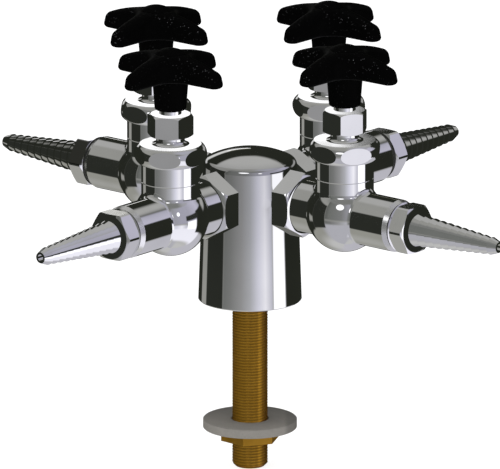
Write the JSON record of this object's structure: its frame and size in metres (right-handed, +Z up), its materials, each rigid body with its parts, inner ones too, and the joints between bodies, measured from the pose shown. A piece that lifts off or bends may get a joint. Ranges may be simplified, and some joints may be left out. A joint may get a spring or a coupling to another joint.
{
  "type": "deck mounted four way hose faucet",
  "caption": "Round chrome column on a threaded brass shank, with needle valves round it, each with a cross handle and a serrated hose nozzle.",
  "frame": {"origin": "centre of the column's bottom face, where it rests on the deck", "axes": "+Z up along the column; the four valves stand along +X, +Y, -X and -Y"},
  "size_m": [0.309, 0.309, 0.2187],
  "materials": {
    "chrome": "polished chrome plate on brass",
    "stem_chrome": "turned and chrome plated",
    "brass": "machined rough brass",
    "washer_grey": "moulded grey fibre",
    "seal_rubber": "matt rubber",
    "gasket": "white sealing plastic",
    "packing": "white sealing plastic",
    "stainless": "ground stainless steel",
    "handle_black": "glossy black plastic with a fine sparkle"
  },
  "bodies": {
    "root": {"column": "chrome", "deck_seal": "seal_rubber", "shank": "brass", "coupling_1": "chrome", "valve_body_1": "chrome", "seat_1": "stainless", "bonnet_gasket_1": "gasket", "bonnet_1": "chrome", "packing_1": "packing", "packing_nut_1": "chrome", "nozzle_seal_1": "seal_rubber", "nozzle_1": "chrome", "coupling_2": "chrome", "valve_body_2": "chrome", "seat_2": "stainless", "bonnet_gasket_2": "gasket", "bonnet_2": "chrome", "packing_2": "packing", "packing_nut_2": "chrome", "nozzle_seal_2": "seal_rubber", "nozzle_2": "chrome", "coupling_3": "chrome", "valve_body_3": "chrome", "seat_3": "stainless", "bonnet_gasket_3": "gasket", "bonnet_3": "chrome", "packing_3": "packing", "packing_nut_3": "chrome", "nozzle_seal_3": "seal_rubber", "nozzle_3": "chrome", "coupling_4": "chrome", "valve_body_4": "chrome", "seat_4": "stainless", "bonnet_gasket_4": "gasket", "bonnet_4": "chrome", "packing_4": "packing", "packing_nut_4": "chrome", "nozzle_seal_4": "seal_rubber", "nozzle_4": "chrome"},
    "cone_1": {"cone_1": "stainless"},
    "stem_1": {"stem_1": "stem_chrome", "handle_1": "handle_black", "handle_screw_1": "handle_black"},
    "cone_2": {"cone_2": "stainless"},
    "stem_2": {"stem_2": "stem_chrome", "handle_2": "handle_black", "handle_screw_2": "handle_black"},
    "cone_3": {"cone_3": "stainless"},
    "stem_3": {"stem_3": "stem_chrome", "handle_3": "handle_black", "handle_screw_3": "handle_black"},
    "cone_4": {"cone_4": "stainless"},
    "stem_4": {"stem_4": "stem_chrome", "handle_4": "handle_black", "handle_screw_4": "handle_black"},
    "washer": {"deck_washer": "washer_grey"},
    "locknut": {"locknut": "brass"}
  },
  "joints": [
    {"name": "valve_lift_1", "type": "slide", "parent": "root", "child": "cone_1", "axis": [0, 0, 1], "range_m": [0, 0.0039]},
    {"name": "handle_turn_1", "type": "hinge", "parent": "cone_1", "child": "stem_1", "pos_m": [0.059, 0, 0.052], "axis": [0, 0, 1], "range_deg": [0, 936]},
    {"name": "valve_lift_2", "type": "slide", "parent": "root", "child": "cone_2", "axis": [0, 0, 1], "range_m": [0, 0.0039]},
    {"name": "handle_turn_2", "type": "hinge", "parent": "cone_2", "child": "stem_2", "pos_m": [0, 0.059, 0.052], "axis": [0, 0, 1], "range_deg": [0, 936]},
    {"name": "valve_lift_3", "type": "slide", "parent": "root", "child": "cone_3", "axis": [0, 0, 1], "range_m": [0, 0.0039]},
    {"name": "handle_turn_3", "type": "hinge", "parent": "cone_3", "child": "stem_3", "pos_m": [-0.059, 0, 0.052], "axis": [0, 0, 1], "range_deg": [0, 936]},
    {"name": "valve_lift_4", "type": "slide", "parent": "root", "child": "cone_4", "axis": [0, 0, 1], "range_m": [0, 0.0039]},
    {"name": "handle_turn_4", "type": "hinge", "parent": "cone_4", "child": "stem_4", "pos_m": [0, -0.059, 0.052], "axis": [0, 0, 1], "range_deg": [0, 936]},
    {"name": "washer_slide", "type": "slide", "parent": "root", "child": "washer", "axis": [0, 0, 1], "range_m": [0, 0.05644]},
    {"name": "locknut_turn", "type": "hinge", "parent": "washer", "child": "locknut", "pos_m": [0, 0, -0.0669], "axis": [0, 0, 1], "range_deg": [0, 14400]}
  ],
  "couplings": [
    {"joint": "handle_turn_1", "follows": "valve_lift_1", "rad_per_m": 4188.8},
    {"joint": "handle_turn_2", "follows": "valve_lift_2", "rad_per_m": 4188.8},
    {"joint": "handle_turn_3", "follows": "valve_lift_3", "rad_per_m": 4188.8},
    {"joint": "handle_turn_4", "follows": "valve_lift_4", "rad_per_m": 4188.8},
    {"joint": "locknut_turn", "follows": "washer_slide", "rad_per_m": 4453}
  ]
}
